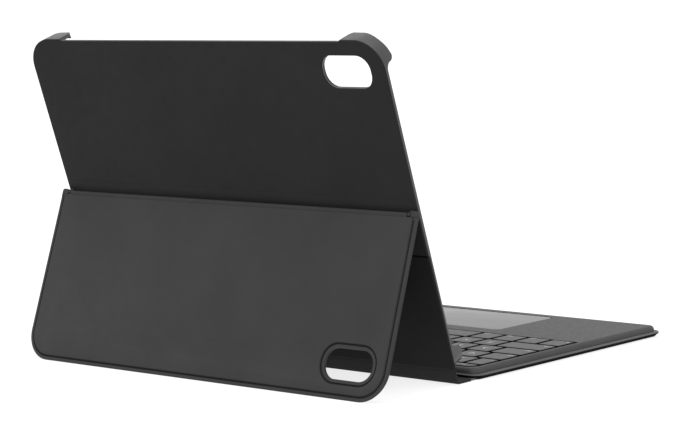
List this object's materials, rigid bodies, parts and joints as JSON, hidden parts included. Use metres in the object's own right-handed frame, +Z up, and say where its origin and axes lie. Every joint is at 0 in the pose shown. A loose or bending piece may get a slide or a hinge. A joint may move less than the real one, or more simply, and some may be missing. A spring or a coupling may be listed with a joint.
{
  "type": "tablet keyboard case",
  "caption": "Folding tablet case with corner clips, camera cut-out, hinged kickstand and a thin keyboard base with keys and a touchpad.",
  "frame": {"origin": "on the table, at the centre of the open case's footprint, under the keyboard base", "axes": "+X along the spine towards the user's right hand, +Y from the user towards the kickstand, +Z up"},
  "size_m": [0.259, 0.27, 0.1838],
  "materials": {
    "leather_dark": "smooth dark grey leatherette, matt",
    "leather": "fine-grained grey leatherette, matt",
    "tray_plastic": "soft-touch grey plastic",
    "deck_plastic": "fine matt grey plastic",
    "key_plastic": "matt grey key caps with pale legends",
    "touchpad_glass": "satin grey touch surface",
    "microfibre": "short dark grey microfibre nap",
    "steel": "plain steel",
    "magnet": "nickel-plated magnet",
    "board": "green circuit board",
    "battery_foil": "foil pouch",
    "black_film": "black polyester film",
    "light_guide": "clear light guide",
    "fibre_board": "pressed fibre board"
  },
  "bodies": {
    "keyboard": {"keyboard_bottom_cover": "leather", "keyboard_deck": "deck_plastic", "key_support_plate": "steel", "key_membrane": "black_film", "battery_cell_left": "battery_foil", "battery_cell_middle": "battery_foil", "main_board": "board", "status_light_bar": "light_guide", "closing_magnet_left": "magnet", "closing_magnet_right": "magnet", "charging_port": "steel", "touchpad_frame": "steel"},
    "touchpad": {"touchpad_plate": "touchpad_glass", "touchpad_board": "board"},
    "power_switch": {"power_switch": "key_plastic"},
    "spine_lower": {"spine_lower_panel": "leather_dark"},
    "spine_upper": {"spine_upper_panel": "leather_dark"},
    "tray": {"tablet_shell": "tray_plastic", "upper_back_skin": "leather_dark", "lower_back_panel": "leather_dark", "lower_back_steel_plate": "steel", "tablet_lining": "microfibre", "kickstand_hinge_leaf": "leather_dark", "kickstand_hinge_pin": "steel"},
    "kickstand": {"kickstand_outer_skin": "leather", "kickstand_inner_skin": "leather", "kickstand_core": "fibre_board", "kickstand_hinge_tube": "leather", "kickstand_magnet_left": "magnet", "kickstand_magnet_right": "magnet"},
    "key_escape": {"key_escape": "key_plastic"},
    "key_grave": {"key_grave": "key_plastic"},
    "key_backspace": {"key_backspace": "key_plastic"},
    "key_tab": {"key_tab": "key_plastic"},
    "key_backslash": {"key_backslash": "key_plastic"},
    "key_caps_lock": {"key_caps_lock": "key_plastic"},
    "key_enter": {"key_enter": "key_plastic"},
    "key_shift_left": {"key_shift_left": "key_plastic"},
    "key_shift_right": {"key_shift_right": "key_plastic"},
    "key_globe": {"key_globe": "key_plastic"},
    "key_control": {"key_control": "key_plastic"},
    "key_option_left": {"key_option_left": "key_plastic"},
    "key_command_left": {"key_command_left": "key_plastic"},
    "key_space": {"key_space": "key_plastic"},
    "key_command_right": {"key_command_right": "key_plastic"},
    "key_option_right": {"key_option_right": "key_plastic"},
    "key_arrow_left": {"key_arrow_left": "key_plastic"},
    "key_arrow_up": {"key_arrow_up": "key_plastic"},
    "key_arrow_down": {"key_arrow_down": "key_plastic"},
    "key_arrow_right": {"key_arrow_right": "key_plastic"},
    "keys_function": {"keys_function": "key_plastic"},
    "keys_number": {"keys_number": "key_plastic"},
    "keys_letters_upper": {"keys_letters_upper": "key_plastic"},
    "keys_letters_home": {"keys_letters_home": "key_plastic"},
    "keys_letters_lower": {"keys_letters_lower": "key_plastic"}
  },
  "joints": [
    {"name": "spine_lower_fold", "type": "hinge", "parent": "keyboard", "child": "spine_lower", "pos_m": [0, 0.053, 0.0007], "axis": [1, 0, 0], "range_deg": [0, 60]},
    {"name": "spine_upper_fold", "type": "hinge", "parent": "spine_lower", "child": "spine_upper", "pos_m": [0, 0.06586, 0.0007], "axis": [1, 0, 0], "range_deg": [-50, 17]},
    {"name": "tray_fold", "type": "hinge", "parent": "spine_upper", "child": "tray", "pos_m": [0, 0.06957, 0.0082], "axis": [1, 0, 0], "range_deg": [-6.5, 32]},
    {"name": "kickstand_hinge", "type": "hinge", "parent": "tray", "child": "kickstand", "pos_m": [0, 0.10271, 0.09207], "axis": [1, 0, 0], "range_deg": [-38.4, 138]},
    {"name": "touchpad_click", "type": "slide", "parent": "keyboard", "child": "touchpad", "axis": [0, 0, -1], "range_m": [0, 0.0003], "stiffness_N_per_m": 3000, "springref_m": -0.0002},
    {"name": "power_switch_slide", "type": "slide", "parent": "keyboard", "child": "power_switch", "axis": [0, 1, 0], "range_m": [0, 0.002]},
    {"name": "key_escape_press", "type": "slide", "parent": "keyboard", "child": "key_escape", "axis": [0, 0, -1], "range_m": [0, 0.0012], "stiffness_N_per_m": 400, "springref_m": -0.0005},
    {"name": "key_grave_press", "type": "slide", "parent": "keyboard", "child": "key_grave", "axis": [0, 0, -1], "range_m": [0, 0.0012], "stiffness_N_per_m": 400, "springref_m": -0.0005},
    {"name": "key_backspace_press", "type": "slide", "parent": "keyboard", "child": "key_backspace", "axis": [0, 0, -1], "range_m": [0, 0.0012], "stiffness_N_per_m": 400, "springref_m": -0.0005},
    {"name": "key_tab_press", "type": "slide", "parent": "keyboard", "child": "key_tab", "axis": [0, 0, -1], "range_m": [0, 0.0012], "stiffness_N_per_m": 400, "springref_m": -0.0005},
    {"name": "key_backslash_press", "type": "slide", "parent": "keyboard", "child": "key_backslash", "axis": [0, 0, -1], "range_m": [0, 0.0012], "stiffness_N_per_m": 400, "springref_m": -0.0005},
    {"name": "key_caps_lock_press", "type": "slide", "parent": "keyboard", "child": "key_caps_lock", "axis": [0, 0, -1], "range_m": [0, 0.0012], "stiffness_N_per_m": 400, "springref_m": -0.0005},
    {"name": "key_enter_press", "type": "slide", "parent": "keyboard", "child": "key_enter", "axis": [0, 0, -1], "range_m": [0, 0.0012], "stiffness_N_per_m": 400, "springref_m": -0.0005},
    {"name": "key_shift_left_press", "type": "slide", "parent": "keyboard", "child": "key_shift_left", "axis": [0, 0, -1], "range_m": [0, 0.0012], "stiffness_N_per_m": 400, "springref_m": -0.0005},
    {"name": "key_shift_right_press", "type": "slide", "parent": "keyboard", "child": "key_shift_right", "axis": [0, 0, -1], "range_m": [0, 0.0012], "stiffness_N_per_m": 400, "springref_m": -0.0005},
    {"name": "key_globe_press", "type": "slide", "parent": "keyboard", "child": "key_globe", "axis": [0, 0, -1], "range_m": [0, 0.0012], "stiffness_N_per_m": 400, "springref_m": -0.0005},
    {"name": "key_control_press", "type": "slide", "parent": "keyboard", "child": "key_control", "axis": [0, 0, -1], "range_m": [0, 0.0012], "stiffness_N_per_m": 400, "springref_m": -0.0005},
    {"name": "key_option_left_press", "type": "slide", "parent": "keyboard", "child": "key_option_left", "axis": [0, 0, -1], "range_m": [0, 0.0012], "stiffness_N_per_m": 400, "springref_m": -0.0005},
    {"name": "key_command_left_press", "type": "slide", "parent": "keyboard", "child": "key_command_left", "axis": [0, 0, -1], "range_m": [0, 0.0012], "stiffness_N_per_m": 400, "springref_m": -0.0005},
    {"name": "key_space_press", "type": "slide", "parent": "keyboard", "child": "key_space", "axis": [0, 0, -1], "range_m": [0, 0.0012], "stiffness_N_per_m": 400, "springref_m": -0.0005},
    {"name": "key_command_right_press", "type": "slide", "parent": "keyboard", "child": "key_command_right", "axis": [0, 0, -1], "range_m": [0, 0.0012], "stiffness_N_per_m": 400, "springref_m": -0.0005},
    {"name": "key_option_right_press", "type": "slide", "parent": "keyboard", "child": "key_option_right", "axis": [0, 0, -1], "range_m": [0, 0.0012], "stiffness_N_per_m": 400, "springref_m": -0.0005},
    {"name": "key_arrow_left_press", "type": "slide", "parent": "keyboard", "child": "key_arrow_left", "axis": [0, 0, -1], "range_m": [0, 0.0012], "stiffness_N_per_m": 400, "springref_m": -0.0005},
    {"name": "key_arrow_up_press", "type": "slide", "parent": "keyboard", "child": "key_arrow_up", "axis": [0, 0, -1], "range_m": [0, 0.0012], "stiffness_N_per_m": 400, "springref_m": -0.0005},
    {"name": "key_arrow_down_press", "type": "slide", "parent": "keyboard", "child": "key_arrow_down", "axis": [0, 0, -1], "range_m": [0, 0.0012], "stiffness_N_per_m": 400, "springref_m": -0.0005},
    {"name": "key_arrow_right_press", "type": "slide", "parent": "keyboard", "child": "key_arrow_right", "axis": [0, 0, -1], "range_m": [0, 0.0012], "stiffness_N_per_m": 400, "springref_m": -0.0005},
    {"name": "keys_function_press", "type": "slide", "parent": "keyboard", "child": "keys_function", "axis": [0, 0, -1], "range_m": [0, 0.0012], "stiffness_N_per_m": 400, "springref_m": -0.0005},
    {"name": "keys_number_press", "type": "slide", "parent": "keyboard", "child": "keys_number", "axis": [0, 0, -1], "range_m": [0, 0.0012], "stiffness_N_per_m": 400, "springref_m": -0.0005},
    {"name": "keys_letters_upper_press", "type": "slide", "parent": "keyboard", "child": "keys_letters_upper", "axis": [0, 0, -1], "range_m": [0, 0.0012], "stiffness_N_per_m": 400, "springref_m": -0.0005},
    {"name": "keys_letters_home_press", "type": "slide", "parent": "keyboard", "child": "keys_letters_home", "axis": [0, 0, -1], "range_m": [0, 0.0012], "stiffness_N_per_m": 400, "springref_m": -0.0005},
    {"name": "keys_letters_lower_press", "type": "slide", "parent": "keyboard", "child": "keys_letters_lower", "axis": [0, 0, -1], "range_m": [0, 0.0012], "stiffness_N_per_m": 400, "springref_m": -0.0005}
  ]
}
